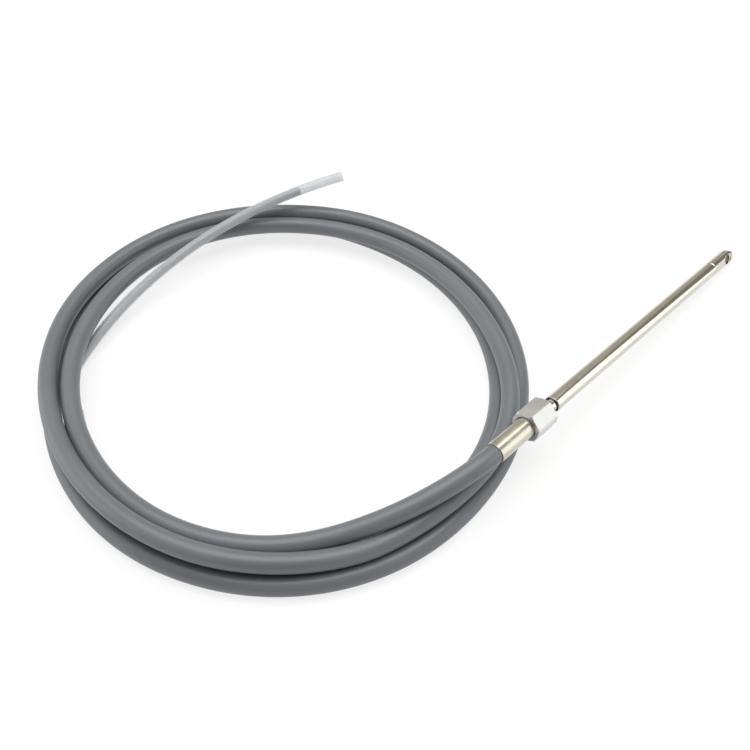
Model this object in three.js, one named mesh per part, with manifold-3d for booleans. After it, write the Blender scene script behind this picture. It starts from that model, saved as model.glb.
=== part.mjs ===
// Boat steering cable, coiled: a jacketed push-pull conduit with a steel helical core,
// a sliding output ram with an eye, a loose coupling nut and, at the helm end, the bare
// core in its loose clear sleeve. Millimetres, +Z up, lying on z = 0, +Y away from the
// front of the coil, +X to the ram's side.
import * as THREE from 'three';
import { mergeVertices } from 'three/addons/utils/BufferGeometryUtils.js';
import Module from 'manifold-3d';

// ---- driving dimensions, mm ----
const JACKET_D = 18.0;          // outside diameter of the conduit
const JACKET_SIDES = 12;
const RAM_D = 15.875;           // 5/8 in ram
const RAM_BORE_D = 12.6;
const RAM_REAR = 40.33;         // stations along the ram's axis, from the nut's rear face
const RAM_SHOULDER = 342.0;
const RAM_NECK_D = 14.7;         // short groove behind the eye's end
const EYE_END_D = 15.5;
const EYE_END_START = 345.0;
const EYE_TIP = 386.0;
const RAM_BORE_END = 330.0;
const EYE_CENTRE = 373.8;
const EYE_HOLE_D = 10.4;        // takes a 3/8 in bolt
const EYE_SPOT_D = 14.4;        // round seat milled about the hole on each side
const EYE_SPOT_THICK = 11.2;
const EYE_THICK = 12.4;         // across the two milled flats
const EYE_FLAT_START = 350.5;
const EYE_TURN_DEG = 22.5;      // the flats' own turn about the ram's axis
const NUT_AF = 27.5;            // across flats
const NUT_LENGTH = 26.65;
const NUT_FACE_R = 14.1;        // round land left by the 30 degree chamfers
const NUT_TURN_DEG = 138.63;
const NUT_WALL_BORE_R = 10.1;   // rear wall that pulls on the ferrule's flange
const NUT_THREAD_R = 10.8;      // thread of the nut, at its pitch radius
const FERRULE_D = 19.6;         // output ferrule
const FERRULE_REAR = -45.77;
const FERRULE_FLANGE_R = 10.45;
const TUBE_D = 11.3;            // support tube that the ram slides on
const TUBE_BORE_D = 9.0;
const TUBE_END = 302.0;
const INPUT_FERRULE_D = 19.5;
const INPUT_FERRULE_LENGTH = 42.0;
const CORE_D = 9.0;             // over the core's helical ribs
const SLEEVE_D = 11.2;
const SLEEVE_BORE_D = 10.0;
const CORE_ARC_R = 330.73;      // the free core's own curve
const CORE_ARC_DEG = 55.8;
const SLEEVE_ARC_DEG = 64.55;
const SLEEVE_START_DEG = -1.0;
const CORE_ARC_START_DEG = -1.2;

// Frame of the ram's axis: origin at the centre of the nut's rear face, local +X forward.
const AXIS_ORIGIN = [95.986, -100.287, 46.927];
const AXIS_HEADING = THREE.MathUtils.degToRad(46.149);
const AXIS_PITCH = THREE.MathUtils.degToRad(5.863);

// Input ferrule: centre of its rear face and the direction that the core leaves in.
const INPUT_REAR = [-313.062, -94.144, 9.749];
const INPUT_DIR = [-0.367711, 0.929937, 0.002570];

// Circle of the free core: centre and the two unit vectors of its plane.
const CORE_CENTRE = [-27.976, -87.572, 82.044];
const CORE_E1 = [-0.933024, 0.289837, -0.213214];
const CORE_E2 = [0.283941, 0.957057, 0.058473];
// The core's short bend from the input ferrule's mouth to the start of that circle.
const CORE_ROOT = [[-328.51, -55.09, 9.86], [-331.60, -47.28, 9.88], [-334.58, -39.43, 9.93], [-337.20, -31.46, 10.02], [-339.18, -23.30, 10.17], [-340.21, -14.98, 10.40], [-340.01, -6.60, 10.73], [-338.46, 1.64, 11.14]];

// Centre line of the conduit, from inside the output ferrule to inside the input ferrule:
// vertices at the same coil angles in every turn, so that neighbouring turns stay parallel.
const ROUTE = [
  [71.31, -125.97, 50.58], [64.15, -133.43, 51.65], [56.07, -141.05, 52.08], [31.15, -159.38, 49.24],
  [-21.40, -186.19, 39.34], [-48.25, -195.34, 33.83], [-75.22, -202.17, 29.07], [-129.81, -208.40, 25.35],
  [-183.99, -200.60, 26.27], [-233.46, -177.94, 26.69], [-274.73, -143.33, 27.35], [-306.18, -100.24, 28.54],
  [-326.69, -51.17, 29.58], [-334.91, 1.58, 29.87], [-329.80, 55.17, 29.13], [-311.91, 106.72, 27.58],
  [-280.83, 152.60, 25.61], [-236.97, 187.18, 23.96], [-184.55, 205.86, 23.39], [-129.81, 208.85, 23.63],
  [-76.96, 198.84, 24.23], [-28.48, 177.10, 25.09], [13.34, 144.74, 26.11], [47.22, 103.79, 27.04],
  [72.57, 55.81, 27.59], [87.87, 1.58, 27.48], [88.76, -56.99, 27.00], [69.30, -113.37, 26.41],
  [31.50, -159.73, 25.54], [-15.78, -195.92, 24.45], [-42.12, -210.14, 24.65], [-70.50, -219.79, 26.19],
  [-129.81, -226.53, 30.02], [-188.44, -217.21, 33.11], [-241.76, -192.31, 34.90], [-286.66, -155.26, 34.98],
  [-321.43, -109.05, 34.03], [-345.48, -56.20, 32.74], [-357.19, 1.58, 31.53], [-354.43, 61.77, 30.19],
  [-334.45, 119.73, 28.51], [-298.22, 169.99, 26.77], [-248.12, 206.50, 25.73], [-189.65, 224.89, 26.22],
  [-129.82, 227.01, 27.39], [-71.79, 218.13, 26.90], [-16.50, 197.84, 23.18], [32.66, 164.05, 18.29],
  [71.33, 117.71, 14.22], [95.74, 62.02, 11.33], [104.65, 1.58, 9.62], [97.21, -59.25, 8.97],
  [74.50, -116.38, 8.90], [38.07, -166.31, 8.98], [-10.05, -205.86, 8.97], [-38.03, -220.01, 8.94],
  [-67.82, -229.80, 8.95], [-129.81, -235.96, 9.23], [-190.49, -224.86, 9.42], [-245.55, -198.88, 9.09],
  [-291.36, -159.96, 8.92], [-325.71, -111.52, 8.98], [-338.44, -84.83, 9.04], [-348.05, -56.89, 9.08],
  [-357.65, 1.58, 9.09], [-353.84, 61.61, 9.03], [-335.60, 120.39, 8.95], [-301.76, 173.53, 8.92],
  [-252.45, 214.00, 8.93], [-192.13, 234.16, 8.95], [-129.82, 232.30, 8.93], [-72.79, 214.39, 8.91],
  [-23.21, 186.23, 8.93], [18.54, 149.94, 8.98], [51.11, 106.04, 9.04], [73.17, 55.97, 9.07],
  [82.72, 1.58, 9.01], [78.44, -54.22, 8.94], [58.55, -107.17, 8.94], [24.30, -152.53, 8.94],
  [-20.81, -187.23, 8.93], [-46.19, -200.31, 8.95], [-73.07, -210.18, 8.95], [-129.81, -217.20, 8.94],
  [-185.68, -206.93, 8.95], [-236.01, -182.36, 8.93], [-277.66, -146.26, 9.13], [-309.47, -102.14, 9.66],
  [-312.69, -95.07, 9.75], [-315.97, -86.80, 9.77],
];

// ---- helpers ----
const wasm = await Module();
wasm.setup();

class Polyline extends THREE.Curve {
  constructor(points) { super(); this.points = points.map((p) => new THREE.Vector3(...p)); }
  getPoint(t, target = new THREE.Vector3()) {
    const n = this.points.length - 1;
    const x = Math.min(Math.max(t, 0), 1) * n;
    const i = Math.min(Math.floor(x + 1e-9), n - 1);
    return target.copy(this.points[i]).lerp(this.points[i + 1], Math.max(x - i, 0));
  }
  getPointAt(u, target) { return this.getPoint(u, target); }
  getTangentAt(u, target = new THREE.Vector3()) {
    const n = this.points.length - 1;
    const i = Math.round(Math.min(Math.max(u, 0), 1) * n);
    const p = this.points;
    const a = i > 0 ? p[i].clone().sub(p[i - 1]).normalize() : null;
    const b = i < n ? p[i + 1].clone().sub(p[i]).normalize() : null;
    if (!a) return target.copy(b);
    if (!b) return target.copy(a);
    return target.copy(a).add(b).normalize();
  }
}

function closed(geometry) {
  let g = geometry.index ? geometry.toNonIndexed() : geometry.clone();
  for (const name of Object.keys(g.attributes)) if (name !== 'position') g.deleteAttribute(name);
  g.clearGroups();
  g = mergeVertices(g, 1e-3);
  const p = g.attributes.position.array;
  const src = g.index.array;
  const tri = [];
  let volume = 0;
  for (let i = 0; i < src.length; i += 3) {
    const [a, b, c] = [src[i], src[i + 1], src[i + 2]];
    if (a === b || b === c || c === a) continue;
    tri.push(a, b, c);
    const [x, y, z] = [a * 3, b * 3, c * 3];
    volume += p[x] * (p[y + 1] * p[z + 2] - p[y + 2] * p[z + 1])
      - p[x + 1] * (p[y] * p[z + 2] - p[y + 2] * p[z])
      + p[x + 2] * (p[y] * p[z + 1] - p[y + 1] * p[z]);
  }
  if (volume < 0) for (let i = 0; i < tri.length; i += 3) [tri[i + 1], tri[i + 2]] = [tri[i + 2], tri[i + 1]];
  g.setIndex(tri);
  return g;
}

function toSolid(geometry, matrix) {
  const g = closed(geometry);
  if (matrix) g.applyMatrix4(matrix);
  return new wasm.Manifold(new wasm.Mesh({
    numProp: 3,
    vertProperties: new Float32Array(g.attributes.position.array),
    triVerts: new Uint32Array(g.index.array),
  }));
}

function toGeometry(solid) {
  const m = solid.getMesh();
  const g = new THREE.BufferGeometry();
  g.setAttribute('position', new THREE.BufferAttribute(new Float32Array(m.vertProperties), 3));
  g.setIndex(new THREE.BufferAttribute(new Uint32Array(m.triVerts), 1));
  g.computeVertexNormals();
  return g;
}

// A turned profile of [station, radius] pairs about local +X.
function turned(profile, segments) {
  const g = new THREE.LatheGeometry(profile.map(([x, r]) => new THREE.Vector2(r, x)), segments);
  g.rotateZ(-Math.PI / 2);
  return closed(g);
}

function circleShape(r, sides, turn = 0) {
  const pts = [];
  for (let i = 0; i < sides; i++) {
    const a = turn + (i / sides) * 2 * Math.PI;
    pts.push(new THREE.Vector2(r * Math.cos(a), r * Math.sin(a)));
  }
  return pts;
}

function tubeAlong(points, r, sides, boreR = 0) {
  const shape = new THREE.Shape(circleShape(r, sides));
  if (boreR > 0) shape.holes.push(new THREE.Path(circleShape(boreR, sides).reverse()));
  return closed(new THREE.ExtrudeGeometry(shape, {
    steps: points.length - 1, bevelEnabled: false, extrudePath: new Polyline(points),
  }));
}

function arcPoints(from, to, count) {
  const c = new THREE.Vector3(...CORE_CENTRE);
  const e1 = new THREE.Vector3(...CORE_E1);
  const e2 = new THREE.Vector3(...CORE_E2);
  const out = [];
  for (let i = 0; i <= count; i++) {
    const a = THREE.MathUtils.degToRad(from + ((to - from) * i) / count);
    const p = c.clone().addScaledVector(e1, CORE_ARC_R * Math.cos(a)).addScaledVector(e2, CORE_ARC_R * Math.sin(a));
    out.push([p.x, p.y, p.z]);
  }
  return out;
}

function mesh(name, geometry, color, roughness, metalness, extra = {}) {
  const m = new THREE.Mesh(geometry, new THREE.MeshStandardMaterial({ color, roughness, metalness, ...extra }));
  m.name = name;
  return m;
}

// ---- the object ----
const cable = new THREE.Group();

cable.add(mesh('cable_jacket', tubeAlong(ROUTE, JACKET_D / 2, JACKET_SIDES), 0x7d8287, 0.62, 0.0));

const ramEnd = new THREE.Group();
ramEnd.position.set(...AXIS_ORIGIN);
ramEnd.rotation.set(0, AXIS_PITCH, AXIS_HEADING, 'ZYX');
cable.add(ramEnd);

// Output ferrule: counterbored over the conduit, with the flange that the nut pulls on and
// a nose that holds the support tube.
const fr = FERRULE_D / 2;
ramEnd.add(mesh('output_ferrule', turned([
  [FERRULE_REAR, 9.4], [FERRULE_REAR, fr - 0.25], [FERRULE_REAR + 0.35, fr], [5.3, fr],
  [5.5, FERRULE_FLANGE_R], [8.4, FERRULE_FLANGE_R], [9.0, fr], [12.2, 7.4], [12.6, TUBE_D / 2 + 0.25],
  [-18.0, TUBE_D / 2 + 0.25], [-18.3, TUBE_BORE_D / 2], [FERRULE_REAR + 10.4, TUBE_BORE_D / 2],
  [FERRULE_REAR + 10.4, 9.4], [FERRULE_REAR, 9.4],
], 32), 0xb9b6ae, 0.25, 1.0));

// Support tube, open at its end inside the ram.
ramEnd.add(mesh('support_tube', turned([
  [-17.7, TUBE_BORE_D / 2], [-17.7, TUBE_D / 2], [TUBE_END - 0.5, TUBE_D / 2],
  [TUBE_END, TUBE_D / 2 - 0.4], [TUBE_END, TUBE_BORE_D / 2], [-17.7, TUBE_BORE_D / 2],
], 20), 0xc4c2ba, 0.2, 1.0));

// Coupling nut: hexagon cut by 30 degree chamfers, with its rear wall and thread bore.
const hexR = NUT_AF / Math.sqrt(3);
const hexShape = new THREE.Shape();
for (let k = 0; k < 6; k++) {
  const a = THREE.MathUtils.degToRad(NUT_TURN_DEG - 60 * k);
  const [y, z] = [-hexR * Math.cos(a), hexR * Math.sin(a)];
  if (k === 0) hexShape.moveTo(y, z); else hexShape.lineTo(y, z);
}
const hexGeometry = new THREE.ExtrudeGeometry(hexShape, { depth: 40, bevelEnabled: false });
// shape x,y to local Y,Z and its depth to local X
hexGeometry.applyMatrix4(new THREE.Matrix4().set(0, 0, 1, -8, 1, 0, 0, 0, 0, 1, 0, 0, 0, 0, 0, 1));
const rise = (hexR + 0.4 - NUT_FACE_R) * Math.tan(Math.PI / 6);
const front = NUT_LENGTH + (hexR - NUT_FACE_R) * Math.tan(Math.PI / 6);
const rear = -(hexR - NUT_FACE_R) * Math.tan(Math.PI / 6);
const nutBody = toSolid(hexGeometry)
  .intersect(toSolid(turned([
    [rear, 0], [rear, NUT_FACE_R], [rear + rise, hexR + 0.4],
    [front - rise, hexR + 0.4], [front, NUT_FACE_R], [front, 0],
  ], 48)))
  .subtract(toSolid(turned([
    [rear - 2, 0], [rear - 2, 10.9], [rear, 10.9], [rear + 0.9, NUT_WALL_BORE_R], [4.9, NUT_WALL_BORE_R],
    [5.1, NUT_THREAD_R], [front - 1.0, NUT_THREAD_R], [front, 11.7], [front + 2, 11.7], [front + 2, 0],
  ], 32)));
ramEnd.add(mesh('coupling_nut', toGeometry(nutBody), 0xb4b3ad, 0.5, 1.0));

// Ram: one blind tube with a turned neck and a flattened, drilled eye.
const rr = RAM_D / 2;
const nr = RAM_NECK_D / 2;
const er = EYE_END_D / 2;
const ramTurned = toSolid(turned([
  [RAM_REAR, RAM_BORE_D / 2 + 0.5], [RAM_REAR, rr - 0.45], [RAM_REAR + 0.45, rr],
  [RAM_SHOULDER - 1.2, rr], [RAM_SHOULDER - 0.3, rr - 0.35], [RAM_SHOULDER, nr], [EYE_END_START - 0.6, nr],
  [EYE_END_START, er], [EYE_TIP + 4, er], [EYE_TIP + 4, 0], [RAM_BORE_END + 3, 0], [RAM_BORE_END, RAM_BORE_D / 2], [RAM_REAR + 0.6, RAM_BORE_D / 2],
  [RAM_REAR, RAM_BORE_D / 2 + 0.5],
], 32));
const eyeTurn = new THREE.Matrix4().makeRotationX(THREE.MathUtils.degToRad(-EYE_TURN_DEG));
// Cutters in the eye's own frame: local Y is across the flats, local Z is the eye's width.
const flatCut = (side) => {
  const outline = [[EYE_END_START + 0.5, er + 0.05], [EYE_FLAT_START, EYE_THICK / 2], [EYE_TIP + 10, EYE_THICK / 2],
    [EYE_TIP + 10, 20], [EYE_END_START + 0.5, 20]].map(([x, y]) => new THREE.Vector2(x, side * y));
  const g = new THREE.ExtrudeGeometry(new THREE.Shape(outline), { depth: 40, bevelEnabled: false });
  return toSolid(g, eyeTurn.clone().multiply(new THREE.Matrix4().makeTranslation(0, 0, -20)));
};
const spotCut = (side) => toSolid(new THREE.CylinderGeometry(EYE_SPOT_D / 2, EYE_SPOT_D / 2, 10, 28),
  eyeTurn.clone().multiply(new THREE.Matrix4().makeTranslation(EYE_CENTRE, side * (EYE_SPOT_THICK / 2 + 5), 0)));
const holeCut = toSolid(new THREE.CylinderGeometry(EYE_HOLE_D / 2, EYE_HOLE_D / 2, 30, 24),
  eyeTurn.clone().multiply(new THREE.Matrix4().makeTranslation(EYE_CENTRE, 0, 0)));
// Everything outside the round end goes.
const arc = [];
for (let i = 0; i <= 16; i++) {
  const a = -Math.PI / 2 + (i / 16) * Math.PI;
  arc.push(new THREE.Vector2(er * Math.cos(a), er * 1.002 * Math.sin(a)));
}
const endOutline = [new THREE.Vector2(0, -20), new THREE.Vector2(20, -20), new THREE.Vector2(20, 20), new THREE.Vector2(0, 20), ...arc.slice().reverse()];
const endGeometry = new THREE.ExtrudeGeometry(new THREE.Shape(endOutline), { depth: 40, bevelEnabled: false });
// shape x,y to local X,Z and its depth to local -Y
endGeometry.applyMatrix4(new THREE.Matrix4().set(1, 0, 0, EYE_TIP - er, 0, 0, -1, 20, 0, 1, 0, 0, 0, 0, 0, 1));
const ramBody = ramTurned.subtract(flatCut(1)).subtract(flatCut(-1)).subtract(holeCut)
  .subtract(spotCut(1)).subtract(spotCut(-1))
  .subtract(toSolid(endGeometry, eyeTurn));
ramEnd.add(mesh('output_ram', toGeometry(ramBody), 0xd2d0c6, 0.12, 1.0));

// Input ferrule: counterbored over the conduit's other end, its mouth lets the core out.
const inputFrame = new THREE.Group();
inputFrame.position.set(...INPUT_REAR);
inputFrame.quaternion.setFromUnitVectors(new THREE.Vector3(1, 0, 0), new THREE.Vector3(...INPUT_DIR).normalize());
cable.add(inputFrame);
const ir = INPUT_FERRULE_D / 2;
inputFrame.add(mesh('input_ferrule', turned([
  [0, 9.35], [0, ir - 0.2], [0.2, ir], [INPUT_FERRULE_LENGTH - 1.0, ir], [INPUT_FERRULE_LENGTH, ir - 1.0],
  [INPUT_FERRULE_LENGTH, 5.6], [INPUT_FERRULE_LENGTH - 0.8, 4.9], [8.3, 4.9], [8.3, 9.35], [0, 9.35],
], 32), 0xb9b6ae, 0.25, 1.0));

// Steering core: from inside the input ferrule, round its short bend and along its circle.
const dir = new THREE.Vector3(...INPUT_DIR);
const inside = (x) => new THREE.Vector3(...INPUT_REAR).addScaledVector(dir, x).toArray();
const corePoints = [inside(9.2), inside(26), ...CORE_ROOT, ...arcPoints(CORE_ARC_START_DEG, CORE_ARC_DEG, 30).slice(1)];
cable.add(mesh('steering_core', tubeAlong(corePoints, CORE_D / 2, 12), 0xaeb4b8, 0.35, 0.9));

// Clear sleeve, loose over the bare core and longer than it.
cable.add(mesh('core_sleeve', tubeAlong(arcPoints(SLEEVE_START_DEG, SLEEVE_ARC_DEG, 32), SLEEVE_D / 2, 12, SLEEVE_BORE_D / 2),
  0xd9dedf, 0.4, 0.0, { transparent: true, opacity: 0.55 }));

export default cable;
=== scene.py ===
import math
import bpy
import bmesh
import numpy as np
from mathutils import Vector, Matrix


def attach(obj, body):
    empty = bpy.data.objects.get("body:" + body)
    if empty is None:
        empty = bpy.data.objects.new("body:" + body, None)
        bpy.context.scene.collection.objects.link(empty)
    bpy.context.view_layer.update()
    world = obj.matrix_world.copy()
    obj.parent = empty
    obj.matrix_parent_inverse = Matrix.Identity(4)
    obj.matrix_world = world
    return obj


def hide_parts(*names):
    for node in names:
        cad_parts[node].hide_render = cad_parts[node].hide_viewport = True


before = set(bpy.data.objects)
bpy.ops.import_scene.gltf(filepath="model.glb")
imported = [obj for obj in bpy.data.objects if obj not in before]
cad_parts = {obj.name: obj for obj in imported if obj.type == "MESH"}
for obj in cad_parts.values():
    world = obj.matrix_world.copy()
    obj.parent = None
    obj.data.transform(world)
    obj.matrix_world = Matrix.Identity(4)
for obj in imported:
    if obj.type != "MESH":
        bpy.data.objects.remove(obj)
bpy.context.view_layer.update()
scene = bpy.context.scene

# ------------------------------------------------------------------ camera
cam_data = bpy.data.cameras.new("camera")
cam_data.sensor_width = 36.0
cam_data.lens = 41.481
cam_data.clip_start = 0.01
cam = bpy.data.objects.new("camera", cam_data)
cam.location = (-0.0388145, -0.5714166, 0.6593874)
cam.rotation_euler = (math.radians(41.0), 0.0, 0.0)
scene.collection.objects.link(cam)
scene.camera = cam

# ------------------------------------------------------------------ sizes, metres
JACKET_D = 0.018
ROUTE = [
    (0.07131, -0.12597, 0.05058), (0.06415, -0.13343, 0.05165), (0.05607, -0.14105, 0.05208), (0.03115, -0.15938, 0.04924),
    (-0.02140, -0.18619, 0.03934), (-0.04825, -0.19534, 0.03383), (-0.07522, -0.20217, 0.02907), (-0.12981, -0.20840, 0.02535),
    (-0.18399, -0.20060, 0.02627), (-0.23346, -0.17794, 0.02669), (-0.27473, -0.14333, 0.02735), (-0.30618, -0.10024, 0.02854),
    (-0.32669, -0.05117, 0.02958), (-0.33491, 0.00158, 0.02987), (-0.32980, 0.05517, 0.02913), (-0.31191, 0.10672, 0.02758),
    (-0.28083, 0.15260, 0.02561), (-0.23697, 0.18718, 0.02396), (-0.18455, 0.20586, 0.02339), (-0.12981, 0.20885, 0.02363),
    (-0.07696, 0.19884, 0.02423), (-0.02848, 0.17710, 0.02509), (0.01334, 0.14474, 0.02611), (0.04722, 0.10379, 0.02704),
    (0.07257, 0.05581, 0.02759), (0.08787, 0.00158, 0.02748), (0.08876, -0.05699, 0.02700), (0.06930, -0.11337, 0.02641),
    (0.03150, -0.15973, 0.02554), (-0.01578, -0.19592, 0.02445), (-0.04212, -0.21014, 0.02465), (-0.07050, -0.21979, 0.02619),
    (-0.12981, -0.22653, 0.03002), (-0.18844, -0.21721, 0.03311), (-0.24176, -0.19231, 0.03490), (-0.28666, -0.15526, 0.03498),
    (-0.32143, -0.10905, 0.03403), (-0.34548, -0.05620, 0.03274), (-0.35719, 0.00158, 0.03153), (-0.35443, 0.06177, 0.03019),
    (-0.33445, 0.11973, 0.02851), (-0.29822, 0.16999, 0.02677), (-0.24812, 0.20650, 0.02573), (-0.18965, 0.22489, 0.02622),
    (-0.12982, 0.22701, 0.02739), (-0.07179, 0.21813, 0.02690), (-0.01650, 0.19784, 0.02318), (0.03266, 0.16405, 0.01829),
    (0.07133, 0.11771, 0.01422), (0.09574, 0.06202, 0.01133), (0.10465, 0.00158, 0.00962), (0.09721, -0.05925, 0.00897),
    (0.07450, -0.11638, 0.00890), (0.03807, -0.16631, 0.00898), (-0.01005, -0.20586, 0.00897), (-0.03803, -0.22001, 0.00894),
    (-0.06782, -0.22980, 0.00895), (-0.12981, -0.23596, 0.00923), (-0.19049, -0.22486, 0.00942), (-0.24555, -0.19888, 0.00909),
    (-0.29136, -0.15996, 0.00892), (-0.32571, -0.11152, 0.00898), (-0.33844, -0.08483, 0.00904), (-0.34805, -0.05689, 0.00908),
    (-0.35765, 0.00158, 0.00909), (-0.35384, 0.06161, 0.00903), (-0.33560, 0.12039, 0.00895), (-0.30176, 0.17353, 0.00892),
    (-0.25245, 0.21400, 0.00893), (-0.19213, 0.23416, 0.00895), (-0.12982, 0.23230, 0.00893), (-0.07279, 0.21439, 0.00891),
    (-0.02321, 0.18623, 0.00893), (0.01854, 0.14994, 0.00898), (0.05111, 0.10604, 0.00904), (0.07317, 0.05597, 0.00907),
    (0.08272, 0.00158, 0.00901), (0.07844, -0.05422, 0.00894), (0.05855, -0.10717, 0.00894), (0.02430, -0.15253, 0.00894),
    (-0.02081, -0.18723, 0.00893), (-0.04619, -0.20031, 0.00895), (-0.07307, -0.21018, 0.00895), (-0.12981, -0.21720, 0.00894),
    (-0.18568, -0.20693, 0.00895), (-0.23601, -0.18236, 0.00893), (-0.27766, -0.14626, 0.00913), (-0.30947, -0.10214, 0.00966),
    (-0.31269, -0.09507, 0.00975), (-0.31597, -0.08680, 0.00977),
]
AXIS_ORIGIN = np.array([0.0959855, -0.1002866, 0.0469274])
AX = np.array([0.68916138, 0.71737154, -0.10215016])
AY = np.array([-0.72114385, 0.69278535, 0.0])
AZ = np.array([0.07076814, 0.07366496, 0.99476899])
IN_REAR = np.array([-0.31306206, -0.09414449, 0.00974948])
IN_DIR = np.array([-0.36771083, 0.92993664, 0.00256956])
CORE_C = np.array([-0.02797582, -0.08757239, 0.08204448])
CORE_E1 = np.array([-0.933024, 0.289837, -0.213214])
CORE_E2 = np.array([0.283941, 0.957057, 0.058473])
CORE_R = 0.33073
CORE_ROOT = [(-0.32851, -0.05509, 0.00986), (-0.33160, -0.04728, 0.00988), (-0.33458, -0.03943, 0.00993), (-0.33720, -0.03146, 0.01002), (-0.33918, -0.02330, 0.01017), (-0.34021, -0.01498, 0.01040), (-0.34001, -0.00660, 0.01073), (-0.33846, 0.00164, 0.01114)]


# ------------------------------------------------------------------ mesh helpers
def new_object(name, verts, faces, smooth=True):
    me = bpy.data.meshes.new(name)
    me.from_pydata([tuple(v) for v in verts], [], faces)
    me.validate()
    me.update()
    ob = bpy.data.objects.new(name, me)
    scene.collection.objects.link(ob)
    if smooth:
        me.polygons.foreach_set("use_smooth", [True] * len(me.polygons))
    return ob


def recalc(ob):
    bm = bmesh.new()
    bm.from_mesh(ob.data)
    bmesh.ops.recalc_face_normals(bm, faces=bm.faces)
    bm.to_mesh(ob.data)
    bm.free()
    ob.data.update()


def by_angle(ob, degrees):
    """Smooth faces, with the edges sharper than this left sharp."""
    me = ob.data
    bm = bmesh.new()
    bm.from_mesh(me)
    lim = math.radians(degrees)
    for e in bm.edges:
        e.smooth = not (len(e.link_faces) == 2 and e.calc_face_angle(0) > lim)
    for f in bm.faces:
        f.smooth = True
    bm.to_mesh(me)
    bm.free()
    me.update()


def add_attr(ob, name, values):
    a = ob.data.attributes.new(name, "FLOAT_VECTOR", "POINT")
    a.data.foreach_set("vector", np.asarray(values, np.float32).ravel())


def spline(points, step):
    """A natural cubic spline through the points, sampled evenly, and its length."""
    p = np.array(points, float)
    t = np.concatenate([[0], np.cumsum(np.linalg.norm(np.diff(p, axis=0), axis=1))])
    n = len(p)
    h = np.diff(t)
    m = np.zeros((n, n))
    r = np.zeros((n, 3))
    m[0, 0] = m[-1, -1] = 1
    for i in range(1, n - 1):
        m[i, i - 1], m[i, i], m[i, i + 1] = h[i - 1], 2 * (h[i - 1] + h[i]), h[i]
        r[i] = 6 * ((p[i + 1] - p[i]) / h[i] - (p[i] - p[i - 1]) / h[i - 1])
    k = np.linalg.solve(m, r)

    def at(s):
        i = np.clip(np.searchsorted(t, s, side="right") - 1, 0, n - 2)
        a, b = (t[i + 1] - s)[:, None], (s - t[i])[:, None]
        hh = h[i][:, None]
        return (k[i] * a**3 + k[i + 1] * b**3) / (6 * hh) + (p[i] / hh - k[i] * hh / 6) * a + (p[i + 1] / hh - k[i + 1] * hh / 6) * b

    s = np.linspace(0, t[-1], 20001)
    q = at(s)
    along = np.concatenate([[0], np.cumsum(np.linalg.norm(np.diff(q, axis=0), axis=1))])
    m_ = max(2, int(round(along[-1] / step)) + 1)
    even = np.interp(np.linspace(0, along[-1], m_), along, s)
    return at(even), along[-1]


def frames(path):
    """Tangents and two rotation-minimising normals along a path."""
    tan = np.gradient(path, axis=0)
    tan /= np.linalg.norm(tan, axis=1)[:, None]
    u = np.zeros_like(path)
    ref = np.array([0, 0, 1.0])
    a = ref - tan[0] * (ref @ tan[0])
    u[0] = a / np.linalg.norm(a)
    for i in range(1, len(path)):
        a = u[i - 1] - tan[i] * (u[i - 1] @ tan[i])
        u[i] = a / np.linalg.norm(a)
    return tan, u, np.cross(tan, u)


def tube(name, path, radius, sides, attr_step=None, caps=True, bore=None):
    """A tube along the path; radius(s_index, angle) may vary. A bore makes it an open-ended pipe."""
    n = len(path)
    tan, u, w = frames(path)
    ang = np.linspace(0, 2 * np.pi, sides, endpoint=False)
    ca, sa = np.cos(ang), np.sin(ang)
    along = np.concatenate([[0], np.cumsum(np.linalg.norm(np.diff(path, axis=0), axis=1))])

    def shell(rad):
        r = rad(along[:, None], ang[None, :]) if callable(rad) else np.full((n, sides), rad)
        v = path[:, None, :] + r[..., None] * (u[:, None, :] * ca[None, :, None] + w[:, None, :] * sa[None, :, None])
        return v.reshape(-1, 3), r

    v, r = shell(radius)
    attr = np.stack([np.broadcast_to(r * ca, (n, sides)), np.broadcast_to(r * sa, (n, sides)), np.broadcast_to(along[:, None], (n, sides))], -1).reshape(-1, 3)
    i, j = np.meshgrid(np.arange(n - 1), np.arange(sides), indexing="ij")
    j2 = (j + 1) % sides
    f = np.stack([i * sides + j, i * sides + j2, (i + 1) * sides + j2, (i + 1) * sides + j], -1).reshape(-1, 4)
    faces = [tuple(x) for x in f.tolist()]
    verts = v
    if bore is not None:
        vb, rb = shell(bore)
        off = len(verts)
        verts = np.vstack([verts, vb])
        attr = np.vstack([attr, attr])
        faces += [(a + off, d + off, c + off, b + off) for a, b, c, d in f.tolist()]
        for jj in range(sides):
            k = (jj + 1) % sides
            faces.append((jj, off + jj, off + k, k))
            e = (n - 1) * sides
            faces.append((e + jj, e + k, off + e + k, off + e + jj))
    elif caps:
        faces.append(tuple(range(sides - 1, -1, -1)))
        e = (n - 1) * sides
        faces.append(tuple(e + jj for jj in range(sides)))
    ob = new_object(name, verts, faces)
    add_attr(ob, "lay", attr)
    recalc(ob)
    return ob


def on_axis(x, r, ang):
    """Points at station x, radius r and angle about the ram's axis, metres."""
    return AXIS_ORIGIN + AX * x + AY * (r * np.cos(ang)) + AZ * (r * np.sin(ang))


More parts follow.
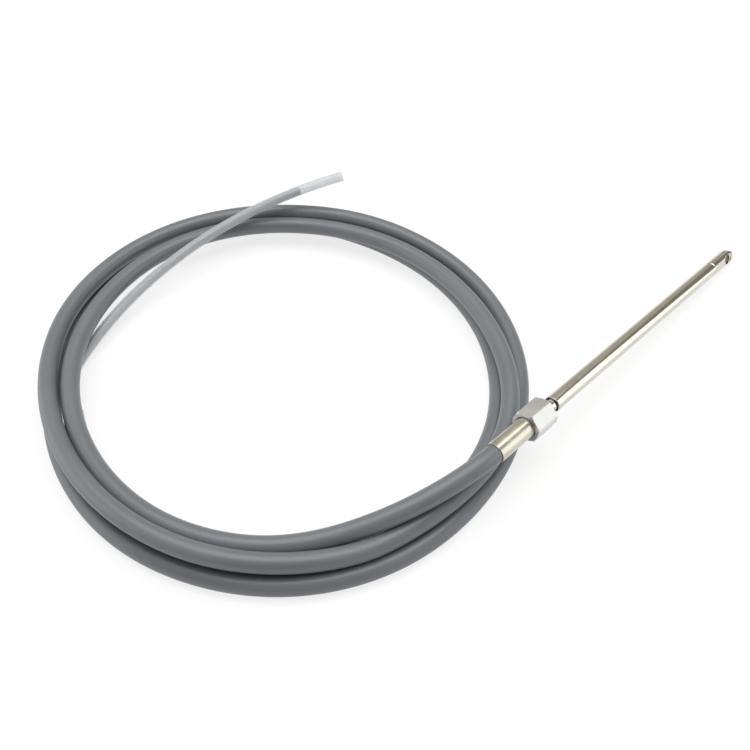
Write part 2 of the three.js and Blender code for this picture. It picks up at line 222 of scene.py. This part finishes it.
def turned(name, profile, sides, origin=AXIS_ORIGIN, x_dir=AX, y_dir=AY, z_dir=AZ, closed=True):
    """A turned solid from [station, radius] pairs in mm; a profile not closed on the axis closes on itself."""
    ang = np.linspace(0, 2 * np.pi, sides, endpoint=False)
    prof = np.array(profile, float) / 1000
    verts, rings, attr = [], [], []
    for x, r in prof:
        if r < 1e-9:
            rings.append(("p", len(verts)))
            verts.append(origin + x_dir * x)
            attr.append((0, 0, x))
        else:
            rings.append(("r", len(verts)))
            for a in ang:
                verts.append(origin + x_dir * x + y_dir * (r * math.cos(a)) + z_dir * (r * math.sin(a)))
                attr.append((r * math.cos(a), r * math.sin(a), x))
    faces = []
    pairs = list(zip(rings[:-1], rings[1:]))
    if rings[0][0] == "r" and rings[-1][0] == "r":
        pairs.append((rings[-1], rings[0]))
    for (ka, a), (kb, b) in pairs:
        for j in range(sides):
            k = (j + 1) % sides
            if ka == "r" and kb == "r":
                faces.append((a + j, a + k, b + k, b + j))
            elif ka == "p" and kb == "r":
                faces.append((a, b + k, b + j))
            elif ka == "r" and kb == "p":
                faces.append((a + j, a + k, b))
    ob = new_object(name, verts, faces)
    add_attr(ob, "lay", attr)
    recalc(ob)
    return ob


def fillet(profile, radii, steps=4):
    """Rounds the profile's corners: radii is a radius for each point, 0 for a sharp one."""
    p = [np.array(q, float) for q in profile]
    out = []
    n = len(p)
    for i in range(n):
        r = radii[i]
        if r <= 0:
            out.append(tuple(p[i]))
            continue
        a, b, c = p[i - 1], p[i], p[(i + 1) % n]
        d1, d2 = a - b, c - b
        l1, l2 = np.linalg.norm(d1), np.linalg.norm(d2)
        k = min(r, l1 * 0.45, l2 * 0.45)
        s, e = b + d1 / l1 * k, b + d2 / l2 * k
        for t in np.linspace(0, 1, steps + 1):
            out.append(tuple((1 - t) ** 2 * s + 2 * t * (1 - t) * b + t * t * e))
    return out


# ------------------------------------------------------------------ the conduit, the cord of this object
path, route_length = spline(ROUTE, 0.0036)
jacket = tube("conduit_jacket", path, JACKET_D / 2, 32)
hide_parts("cable_jacket")
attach(jacket, "conduit")


# ------------------------------------------------------------------ node materials
def material(name):
    m = bpy.data.materials.new(name)
    m.use_nodes = True
    nt = m.node_tree
    nt.nodes.clear()
    out = nt.nodes.new("ShaderNodeOutputMaterial")
    b = nt.nodes.new("ShaderNodeBsdfPrincipled")
    nt.links.new(b.outputs[0], out.inputs[0])
    return m, nt, b


def node(nt, kind, **props):
    n = nt.nodes.new(kind)
    for k, v in props.items():
        setattr(n, k, v)
    return n


def coords(nt, attr=None):
    if attr:
        return node(nt, "ShaderNodeAttribute", attribute_name=attr).outputs["Vector"]
    return node(nt, "ShaderNodeTexCoord").outputs["Object"]


def mapping(nt, vec, scale):
    m = node(nt, "ShaderNodeMapping")
    m.inputs["Scale"].default_value = scale
    nt.links.new(vec, m.inputs["Vector"])
    return m.outputs[0]


def noise(nt, vec, scale, detail=3.0, rough=0.5):
    n = node(nt, "ShaderNodeTexNoise")
    n.inputs["Scale"].default_value = scale
    n.inputs["Detail"].default_value = detail
    n.inputs["Roughness"].default_value = rough
    nt.links.new(vec, n.inputs["Vector"])
    return n.outputs["Fac"]


def ramp(nt, fac, stops):
    r = node(nt, "ShaderNodeValToRGB")
    el = r.color_ramp.elements
    el[0].position, el[0].color = stops[0][0], stops[0][1]
    el[1].position, el[1].color = stops[-1][0], stops[-1][1]
    for p, c in stops[1:-1]:
        e = el.new(p)
        e.color = c
    nt.links.new(fac, r.inputs[0])
    return r.outputs[0]


def grey(v, a=1.0):
    return (v, v, v, a)


def maprange(nt, fac, lo, hi, a=0.3, b=0.7):
    n = node(nt, "ShaderNodeMapRange")
    n.inputs["From Min"].default_value = a
    n.inputs["From Max"].default_value = b
    n.inputs["To Min"].default_value = lo
    n.inputs["To Max"].default_value = hi
    nt.links.new(fac, n.inputs["Value"])
    return n.outputs[0]


def bump(nt, height, strength, distance, normal=None):
    n = node(nt, "ShaderNodeBump")
    n.inputs["Strength"].default_value = strength
    n.inputs["Distance"].default_value = distance
    nt.links.new(height, n.inputs["Height"])
    if normal is not None:
        nt.links.new(normal, n.inputs["Normal"])
    return n.outputs[0]


def mix(nt, fac, a, b, kind="MIX"):
    n = node(nt, "ShaderNodeMix", data_type="RGBA", blend_type=kind)
    for s, v in ((0, fac), (6, a), (7, b)):
        if isinstance(v, (float, int)):
            n.inputs[s].default_value = v
        elif isinstance(v, tuple):
            n.inputs[s].default_value = v
        else:
            nt.links.new(v, n.inputs[s])
    return n.outputs[2]


def jacket_material():
    m, nt, b = material("jacket_grey_plastic")
    lay = coords(nt, "lay")
    streak = noise(nt, mapping(nt, lay, (1, 1, 0.02)), 900.0, 3.0, 0.6)
    cloud = noise(nt, mapping(nt, lay, (1, 1, 0.4)), 45.0, 3.0, 0.5)
    grain = noise(nt, lay, 2600.0, 2.0, 0.6)
    speck = noise(nt, lay, 420.0, 1.0, 0.4)
    base = ramp(nt, cloud, [(0.3, (0.139, 0.150, 0.165, 1)), (0.7, (0.157, 0.167, 0.182, 1))])
    base = mix(nt, maprange(nt, streak, 0.0, 0.18), base, (0.158, 0.163, 0.173, 1))
    base = mix(nt, maprange(nt, speck, 0.0, 0.35, 0.70, 0.80), base, (0.095, 0.095, 0.100, 1))
    nt.links.new(base, b.inputs["Base Color"])
    nt.links.new(maprange(nt, cloud, 0.33, 0.42), b.inputs["Roughness"])
    b.inputs["Specular IOR Level"].default_value = 0.5
    n1 = bump(nt, streak, 0.10, 0.0003)
    nt.links.new(bump(nt, grain, 0.12, 0.00012, n1), b.inputs["Normal"])
    return m


def metal(name, dark, light, rough_lo, rough_hi, turn_scale=0.0, grain=0.0, blast=0.0):
    """Steel: turning or grinding lines round the axis, fine grain, faint stains."""
    m, nt, b = material(name)
    lay = coords(nt, "lay")
    cloud = noise(nt, lay, 70.0, 4.0, 0.55)
    fine = noise(nt, lay, 900.0, 2.0, 0.5)
    base = ramp(nt, cloud, [(0.3, dark), (0.7, light)])
    base = mix(nt, maprange(nt, fine, 0.0, 0.18, 0.45, 0.75), base, tuple(0.72 * c for c in dark[:3]) + (1,))
    nt.links.new(base, b.inputs["Base Color"])
    b.inputs["Metallic"].default_value = 1.0
    nt.links.new(maprange(nt, cloud, rough_lo, rough_hi), b.inputs["Roughness"])
    normal = None
    if turn_scale:
        lines = noise(nt, mapping(nt, lay, (0.03, 0.03, 1)), turn_scale, 2.0, 0.6)
        normal = bump(nt, lines, 0.10, 0.00005)
    if grain:
        normal = bump(nt, fine, grain, 0.00008, normal)
    if blast:
        pits = noise(nt, lay, 2300.0, 2.0, 0.7)
        normal = bump(nt, pits, blast, 0.00015, normal)
    if normal is not None:
        nt.links.new(normal, b.inputs["Normal"])
    return m


def core_material():
    m, nt, b = material("core_wire_steel")
    lay = coords(nt, "lay")
    cloud = noise(nt, lay, 120.0, 3.0, 0.55)
    base = ramp(nt, cloud, [(0.3, (0.17, 0.19, 0.215, 1)), (0.7, (0.27, 0.295, 0.32, 1))])
    nt.links.new(base, b.inputs["Base Color"])
    b.inputs["Metallic"].default_value = 0.85
    nt.links.new(maprange(nt, cloud, 0.32, 0.5), b.inputs["Roughness"])
    nt.links.new(bump(nt, noise(nt, lay, 2400.0, 2.0, 0.6), 0.12, 0.0001), b.inputs["Normal"])
    return m


def sleeve_material():
    m, nt, b = material("sleeve_milky_plastic")
    lay = coords(nt, "lay")
    cloud = noise(nt, mapping(nt, lay, (1, 1, 0.2)), 160.0, 3.0, 0.5)
    base = ramp(nt, cloud, [(0.3, (0.62, 0.655, 0.685, 1)), (0.7, (0.71, 0.735, 0.755, 1))])
    nt.links.new(base, b.inputs["Base Color"])
    nt.links.new(maprange(nt, cloud, 0.3, 0.42), b.inputs["Roughness"])
    b.inputs["Alpha"].default_value = 0.33
    nt.links.new(bump(nt, noise(nt, lay, 700.0, 2.0, 0.5), 0.08, 0.0002), b.inputs["Normal"])
    return m


M_JACKET = jacket_material()
M_FERRULE = metal("ferrule_nickel", (0.52, 0.49, 0.42, 1), (0.60, 0.57, 0.495, 1), 0.24, 0.32, turn_scale=2200.0, grain=0.03)
M_TUBE = metal("tube_polished", (0.62, 0.61, 0.58, 1), (0.72, 0.71, 0.68, 1), 0.08, 0.14, turn_scale=2600.0)
M_RAM = metal("ram_polished", (0.59, 0.565, 0.505, 1), (0.65, 0.625, 0.565, 1), 0.13, 0.19, turn_scale=3000.0)
M_NUT = metal("nut_blasted", (0.58, 0.58, 0.565, 1), (0.68, 0.68, 0.66, 1), 0.38, 0.48, blast=0.35)
M_CORE = core_material()
M_SLEEVE = sleeve_material()

jacket.data.materials.append(M_JACKET)


def finish_piece(ob, mat, slot, body, *nodes):
    ob.data.materials.clear()
    ob.data.materials.append(mat)
    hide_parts(*nodes)
    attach(ob, body)
    return ob


# ------------------------------------------------------------------ output ferrule
fr = 9.8
prof = [(-45.77, 9.4), (-45.77, fr), (5.3, fr), (5.5, 10.45), (8.4, 10.45), (9.0, fr), (12.2, 7.4), (12.6, 5.9),
        (-18.0, 5.9), (-18.3, 4.5), (-35.37, 4.5), (-35.37, 9.4)]
rad = [0.12, 0.45, 0.1, 0.15, 0.3, 0.2, 0.4, 0.2, 0, 0, 0, 0]
ferrule = turned("output_hub", fillet(prof, rad), 128)
by_angle(ferrule, 40)
finish_piece(ferrule, M_FERRULE, "plated_ferrule", "conduit", "output_ferrule")

# ------------------------------------------------------------------ support tube
prof = [(-17.7, 4.5), (-17.7, 5.65), (302.0, 5.65), (302.0, 4.5)]
support = turned("support_rod_tube", fillet(prof, [0, 0.2, 0.5, 0.2]), 96)
by_angle(support, 40)
finish_piece(support, M_TUBE, "polished_tube", "conduit", "support_tube")


# ------------------------------------------------------------------ coupling nut
def nut_mesh():
    af, length, land = 27.5, 26.65, 14.1
    hexr = af / math.sqrt(3)
    t30 = math.tan(math.radians(30))
    sides = 360
    ang = np.linspace(0, 2 * np.pi, sides, endpoint=False)
    # corners as in the CAD: y = -R cos a, z = R sin a at a = 138.63 - 60 k
    corner = math.pi - math.radians(138.63)
    d = (ang - corner) % (math.pi / 3) - math.pi / 6
    flat = (af / 2) / np.cos(d)
    cr = 0.9                                        # the hexagon's corners, slightly broken
    inner = (af / 2 - cr) / np.cos(d)
    corner_round = []
    for dd, f0 in zip(d, flat):
        # distance along the ray to a hexagon whose corners are rounded with radius cr
        e = math.pi / 6 - abs(dd)
        cc = (af / 2 - cr) / math.cos(math.pi / 6)
        s = cc * math.cos(e) + math.sqrt(max(cr * cr - (cc * math.sin(e)) ** 2, 0)) if cc * math.sin(e) < cr else 1e9
        corner_round.append(min(f0, s))
    hr = np.array(corner_round)
    rear0 = -(hexr - land) * t30
    front0 = length + (hexr - land) * t30
    rings = []

    def ring(x, r):
        rings.append((np.broadcast_to(x, (sides,)).astype(float), np.broadcast_to(r, (sides,)).astype(float)))

    x_r = rear0 + (hr - land) * t30                 # where the rear cone meets the flats
    x_f = front0 - (hr - land) * t30
    # rear bore, then out over the rear face
    ring(0.6, 10.1); ring(rear0 + 0.9, 10.15); ring(rear0 + 0.12, 10.85); ring(rear0, 11.1)
    for r in (12.0, 13.0, 13.85):
        ring(rear0, r)
    ring(rear0 + 0.03, land + 0.02)
    for k in (0.15, 0.4, 0.7, 0.9):
        r = land + (hr - land) * k
        ring(rear0 + (r - land) * t30 + 0.02, r)
    ring(x_r + 0.02, hr - 0.10); ring(x_r + 0.10, hr - 0.03); ring(x_r + 0.28, hr)
    for k in (0.1, 0.3, 0.5, 0.7, 0.9):
        ring(x_r + 0.28 + (x_f - x_r - 0.56) * k, hr)
    ring(x_f - 0.28, hr); ring(x_f - 0.10, hr - 0.03); ring(x_f - 0.02, hr - 0.10)
    for k in (0.9, 0.7, 0.4, 0.15):
        r = land + (hr - land) * k
        ring(front0 - (r - land) * t30 - 0.02, r)
    ring(front0 - 0.03, land + 0.02)
    for r in (13.85, 13.0, 12.2):
        ring(front0, r)
    ring(front0, 11.75); ring(front0 - 0.12, 11.55)
    # internal thread
    pitch = 1.814
    xs = np.arange(front0 - 0.9, 5.4, -0.165)
    for x in xs:
        ph = (x / pitch - ang / (2 * np.pi)) % 1.0
        tri = np.abs(ph * 2 - 1)
        depth = np.clip((tri - 0.12) / 0.76, 0, 1)
        fade = min(1.0, (x - 5.2) / 1.5)
        ring(x, 10.3 + (0.25 + 0.75 * depth) * fade)
    ring(5.25, 10.35); ring(5.1, 10.15); ring(4.9, 10.1); ring(2.5, 10.1)
    verts, attr = [], []
    for x, r in rings:
        p = AXIS_ORIGIN + (AX[None] * x[:, None] + AY[None] * (r * np.cos(ang))[:, None] + AZ[None] * (r * np.sin(ang))[:, None]) / 1000
        verts.append(p)
        attr.append(np.stack([r * np.cos(ang), r * np.sin(ang), x], -1) / 1000)
    verts, attr = np.vstack(verts), np.vstack(attr)
    n = len(rings)
    faces = []
    for i in range(n):
        a, b = i * sides, ((i + 1) % n) * sides
        for j in range(sides):
            k = (j + 1) % sides
            faces.append((a + j, a + k, b + k, b + j))
    ob = new_object("hex_coupling_nut", verts, faces)
    add_attr(ob, "lay", attr)
    recalc(ob)
    by_angle(ob, 24)
    return ob


nut = nut_mesh()
finish_piece(nut, M_NUT, "blasted_nut", "nut", "coupling_nut")


# ------------------------------------------------------------------ ram with its eye
def box_prism(name, outline, half):
    """A closed prism: outline in (station, across-flats) mm, going half mm to both sides along the eye's width."""
    n = len(outline)
    th = math.radians(22.5)
    ey = AY * math.cos(th) - AZ * math.sin(th)
    ez = AY * math.sin(th) + AZ * math.cos(th)
    v = []
    for w in (-half, half):
        for x, y in outline:
            v.append(AXIS_ORIGIN + (AX * x + ey * y + ez * w) / 1000)
    f = [tuple(range(n)), tuple(range(2 * n - 1, n - 1, -1))]
    for i in range(n):
        k = (i + 1) % n
        f.append((i, i + n, k + n, k))
    ob = new_object(name, v, f, smooth=False)
    recalc(ob)
    return ob


def cylinder(name, x, r, half, turn_deg, sides=96):
    th = math.radians(turn_deg)
    ey = AY * math.cos(th) - AZ * math.sin(th)
    ez = AY * math.sin(th) + AZ * math.cos(th)
    v = []
    for w in (-half, half):
        for i in range(sides):
            a = 2 * math.pi * i / sides
            v.append(AXIS_ORIGIN + (AX * (x + r * math.cos(a)) + ez * (r * math.sin(a)) + ey * w) / 1000)
    f = [tuple(range(sides)), tuple(range(2 * sides - 1, sides - 1, -1))]
    for i in range(sides):
        k = (i + 1) % sides
        f.append((i, i + sides, k + sides, k))
    ob = new_object(name, v, f, smooth=False)
    recalc(ob)
    return ob


def cut(ob, cutter, op="DIFFERENCE"):
    m = ob.modifiers.new("cut", "BOOLEAN")
    m.operation, m.object, m.solver = op, cutter, "EXACT"
    dg = bpy.context.evaluated_depsgraph_get()
    me = bpy.data.meshes.new_from_object(ob.evaluated_get(dg))
    ob.modifiers.clear()
    ob.data = me
    bpy.data.objects.remove(cutter)


rr, nr, er, eye, tip = 7.9375, 7.35, 7.75, 373.8, 386.0
prof = [(40.33, 6.8), (40.33, rr), (342.0, rr), (342.5, nr), (344.4, nr), (345.0, er), (tip + 4, er), (tip + 4, 0), (333.0, 0), (330.0, 6.3), (40.93, 6.3)]
rad = [0.15, 0.45, 0.9, 0.2, 0.2, 0.35, 0, 0, 0, 0, 0.2]
ram = turned("steel_ram", fillet(prof, rad, 6), 128)
for side in (1, -1):
    cut(ram, box_prism("flat_cut", [(345.5, side * 7.8), (350.5, side * 6.2), (400, side * 6.2), (400, side * 20), (345.5, side * 20)], 20))


def offset_cylinder(name, x, r, y0, y1, turn_deg, sides=96):
    th = math.radians(turn_deg)
    ey = AY * math.cos(th) - AZ * math.sin(th)
    ez = AY * math.sin(th) + AZ * math.cos(th)
    v = []
    for w in (y0, y1):
        for i in range(sides):
            a = 2 * math.pi * i / sides
            v.append(AXIS_ORIGIN + (AX * (x + r * math.cos(a)) + ez * (r * math.sin(a)) + ey * w) / 1000)
    f = [tuple(range(sides)), tuple(range(2 * sides - 1, sides - 1, -1))]
    for i in range(sides):
        k = (i + 1) % sides
        f.append((i, i + sides, k + sides, k))
    ob = new_object(name, v, f, smooth=False)
    recalc(ob)
    return ob


cut(ram, cylinder("hole_cut", eye, 5.2, 20, 22.5))
for side in (1, -1):
    cut(ram, offset_cylinder("seat_cut", eye, 7.2, side * 5.6, side * 15.6, 22.5))
arc_pts = [(er * math.cos(a), er * math.sin(a)) for a in np.linspace(math.pi / 2, -math.pi / 2, 49)]


def end_prism():
    e0 = tip - er
    outline = [(e0, -20), (e0 + 20, -20), (e0 + 20, 20), (e0, 20)] + [(e0 + x, z * 1.002) for x, z in arc_pts]
    th = math.radians(22.5)
    ey = AY * math.cos(th) - AZ * math.sin(th)
    ez = AY * math.sin(th) + AZ * math.cos(th)
    n = len(outline)
    v = []
    for w in (-20, 20):
        for x, z in outline:
            v.append(AXIS_ORIGIN + (AX * x + ez * z + ey * w) / 1000)
    f = [tuple(range(n)), tuple(range(2 * n - 1, n - 1, -1))]
    for i in range(n):
        k = (i + 1) % n
        f.append((i, i + n, k + n, k))
    ob = new_object("end_cut", v, f, smooth=False)
    recalc(ob)
    return ob


cut(ram, end_prism())
# rim of the hole and of the eye's outline, broken by a small bevel
bm = bmesh.new()
bm.from_mesh(ram.data)
bmesh.ops.remove_doubles(bm, verts=bm.verts, dist=1e-6)
edges = []
for e in bm.edges:
    if len(e.link_faces) == 2 and e.calc_face_angle(0) > math.radians(35):
        mid = (e.verts[0].co + e.verts[1].co) / 2
        x = float(np.dot(np.array(mid) - AXIS_ORIGIN, AX)) * 1000
        if x > 350.8:
            edges.append(e)
bmesh.ops.bevel(bm, geom=edges, offset=0.0003, offset_type="OFFSET", segments=3, profile=0.5, affect="EDGES", clamp_overlap=True)
bm.to_mesh(ram.data)
bm.free()
co = np.array([v.co for v in ram.data.vertices])
rel = co - AXIS_ORIGIN
if "lay" in ram.data.attributes:
    ram.data.attributes.remove(ram.data.attributes["lay"])
add_attr(ram, "lay", np.stack([rel @ AY, rel @ AZ, rel @ AX], -1))
by_angle(ram, 28)
finish_piece(ram, M_RAM, "polished_ram", "ram", "output_ram")

# ------------------------------------------------------------------ input ferrule
iy = np.cross(np.array([0, 0, 1.0]), IN_DIR)
iy /= np.linalg.norm(iy)
iz = np.cross(IN_DIR, iy)
prof = [(0, 9.35), (0, 9.75), (42, 9.75), (42, 5.6), (41.2, 4.9), (8.3, 4.9), (8.3, 9.35)]
inner_hub = turned("input_hub", fillet(prof, [0.1, 0.35, 1.0, 0.3, 0, 0, 0]), 96, origin=IN_REAR, x_dir=IN_DIR, y_dir=iy, z_dir=iz)
by_angle(inner_hub, 40)
finish_piece(inner_hub, M_FERRULE, "plated_ferrule", "conduit", "input_ferrule")


# ------------------------------------------------------------------ steering core, a helix of wire round the core
def arc(a0, a1, count):
    a = np.radians(np.linspace(a0, a1, count))[:, None]
    return CORE_C + CORE_R * (CORE_E1 * np.cos(a) + CORE_E2 * np.sin(a))


ctrl = [IN_REAR + IN_DIR * 0.0092, IN_REAR + IN_DIR * 0.018, IN_REAR + IN_DIR * 0.028] + [np.array(p) for p in CORE_ROOT[:-1]] + [p for p in arc(-1.2, 55.8, 25)]
core_path, core_length = spline(ctrl, 0.00040)
RIB = 0.0032


def core_radius(s, a):
    ph = (s / RIB - a / (2 * np.pi)) % 1.0
    wire = np.sqrt(np.clip(1 - ((ph - 0.5) / 0.34) ** 2, 0, 1))
    end = np.clip((core_length - s) / 0.0012, 0.0, 1.0)
    return (0.00385 + 0.00062 * wire) * (0.86 + 0.14 * np.sqrt(end))


core = tube("helical_core", core_path, core_radius, 28)
finish_piece(core, M_CORE, "core_steel", "conduit", "steering_core")

sleeve_path = arc(-1.0, 64.55, 226)
sleeve = tube("clear_core_sleeve", sleeve_path, 0.0056, 40, bore=0.0050)
by_angle(sleeve, 50)
finish_piece(sleeve, M_SLEEVE, "clear_sleeve", "sleeve", "core_sleeve")

# ------------------------------------------------------------------ floor, light
bpy.ops.mesh.primitive_plane_add(size=12, location=(0, 0, -0.0002))
floor = bpy.context.object
floor.name = "floor"
fm, fnt, fb = material("floor_white")
fcol = ramp(fnt, noise(fnt, coords(fnt), 3.0, 2.0, 0.5), [(0.3, (0.215, 0.215, 0.215, 1)), (0.7, (0.225, 0.225, 0.225, 1))])
fnt.links.new(fcol, fb.inputs["Base Color"])
fb.inputs["Roughness"].default_value = 0.85
fb.inputs["Specular IOR Level"].default_value = 0.2
fb.inputs["Emission Color"].default_value = (1, 1, 1, 1)
fb.inputs["Emission Strength"].default_value = 0.77
floor.data.materials.append(fm)

world = bpy.data.worlds.new("studio")
scene.world = world
world.use_nodes = True
wn = world.node_tree
wn.nodes.clear()
wout = wn.nodes.new("ShaderNodeOutputWorld")
bg = wn.nodes.new("ShaderNodeBackground")
tc = wn.nodes.new("ShaderNodeTexCoord")
sep = wn.nodes.new("ShaderNodeSeparateXYZ")
wn.links.new(tc.outputs["Generated"], sep.inputs[0])
wr = wn.nodes.new("ShaderNodeValToRGB")
xr = wn.nodes.new("ShaderNodeMapRange")
xr.inputs["From Min"].default_value, xr.inputs["From Max"].default_value = -1.0, 1.0
wn.links.new(sep.outputs["X"], xr.inputs["Value"])
wr.color_ramp.elements[0].position = 0.0
wr.color_ramp.elements[0].color = (0.60, 0.62, 0.62, 1)
wr.color_ramp.elements[1].position = 1.0
wr.color_ramp.elements[1].color = (0.27, 0.255, 0.23, 1)
for p, c in ((0.25, (0.55, 0.56, 0.55, 1)), (0.42, (0.55, 0.53, 0.48, 1)), (0.70, (0.53, 0.50, 0.435, 1)), (0.79, (0.26, 0.245, 0.215, 1))):
    e = wr.color_ramp.elements.new(p)
    e.color = c
wn.links.new(xr.outputs["Result"], wr.inputs[0])
front = wn.nodes.new("ShaderNodeMapRange")
front.inputs["From Min"].default_value, front.inputs["From Max"].default_value = 0.0, -0.75
wn.links.new(sep.outputs["Y"], front.inputs["Value"])
wm = wn.nodes.new("ShaderNodeMix")
wm.data_type = "RGBA"
wn.links.new(front.outputs["Result"], wm.inputs["Factor"])
wn.links.new(wr.outputs[0], wm.inputs[6])
wm.inputs[7].default_value = (0.20, 0.165, 0.19, 1)
wn.links.new(wm.outputs[2], bg.inputs["Color"])
bg.inputs["Strength"].default_value = 1.0
wn.links.new(bg.outputs[0], wout.inputs["Surface"])


def area(name, loc, target, size, power, color=(1, 1, 1)):
    d = bpy.data.lights.new(name, "AREA")
    d.energy, d.size, d.color = power, size, color
    o = bpy.data.objects.new(name, d)
    o.location = loc
    o.rotation_euler = (Vector(target) - Vector(loc)).to_track_quat("-Z", "Y").to_euler()
    scene.collection.objects.link(o)
    return o


def panel(name, loc, target, sx, sy, power, color=(1, 1, 1)):
    o = area(name, loc, target, sx, power, color)
    o.data.shape = "RECTANGLE"
    o.data.size, o.data.size_y = sx, sy
    return o


panel("right_wall", (1.62, -0.18, 0.68), (0.1, -0.18, 0.60), 1.6, 1.34, 10.8, (0.965, 1.0, 0.985))
panel("overhead", (0.0, 0.35, 2.3), (0.0, 0.05, 0.0), 2.4, 2.0, 48, (0.975, 1.0, 0.995))
panel("left_wall", (-1.75, -0.1, 0.70), (-0.2, -0.1, 0.50), 1.7, 1.3, 10.5, (0.97, 1.0, 1.0))

scene.view_settings.view_transform = "Standard"
scene.view_settings.look = "None"
scene.view_settings.exposure = 0.0
scene.view_settings.gamma = 1.0
